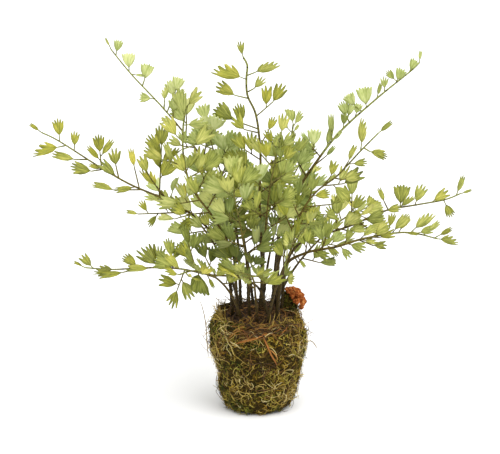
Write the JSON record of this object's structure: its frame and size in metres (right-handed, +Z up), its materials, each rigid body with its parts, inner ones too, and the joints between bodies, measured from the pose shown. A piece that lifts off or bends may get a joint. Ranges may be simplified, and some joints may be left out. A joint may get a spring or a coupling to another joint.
{
  "type": "maidenhair fern in a moss-wrapped root ball",
  "caption": "Small maidenhair fern: wiry fronds with fan-shaped leaflets rising from a pot-shaped root ball wrapped in moss.",
  "frame": {"origin": "centre of the flat base of the root ball, where it stands", "axes": "+Z up along the root ball; the fronds spread widest along X, and -Y is the side usually seen"},
  "size_m": [0.4388, 0.2843, 0.3737],
  "materials": {
    "leaf": "matte",
    "stalk": "satin",
    "soil": "matte",
    "moss": "matte",
    "lichen": "matte",
    "root": "matte"
  },
  "bodies": {
    "root": {"back_far_left_blade": "leaf", "back_far_left_stalk": "stalk", "back_far_right_blade": "leaf", "back_far_right_stalk": "stalk", "back_left_blade": "leaf", "back_left_high_blade": "leaf", "back_left_high_stalk": "stalk", "back_left_stalk": "stalk", "back_right_blade": "leaf", "back_right_high_blade": "leaf", "back_right_high_stalk": "stalk", "back_right_stalk": "stalk", "crown_front_blade": "leaf", "crown_front_stalk": "stalk", "crown_left_blade": "leaf", "crown_left_stalk": "stalk", "crown_right_blade": "leaf", "crown_right_stalk": "stalk", "crown_tall_blade": "leaf", "crown_tall_stalk": "stalk", "front_centre_blade": "leaf", "front_centre_stalk": "stalk", "front_left_blade": "leaf", "front_left_stalk": "stalk", "front_right_blade": "leaf", "front_right_stalk": "stalk", "left_long_blade": "leaf", "left_long_stalk": "stalk", "left_low_blade": "leaf", "left_low_stalk": "stalk", "left_tall_blade": "leaf", "left_tall_stalk": "stalk", "moss_wrap": "moss", "right_long_blade": "leaf", "right_long_stalk": "stalk", "right_low_blade": "leaf", "right_low_stalk": "stalk", "right_tall_blade": "leaf", "right_tall_stalk": "stalk", "right_upper_blade": "leaf", "right_upper_stalk": "stalk", "rust_lichen": "lichen", "soil": "soil", "stray_root_left": "root", "stray_root_right": "root"}
  },
  "joints": []
}
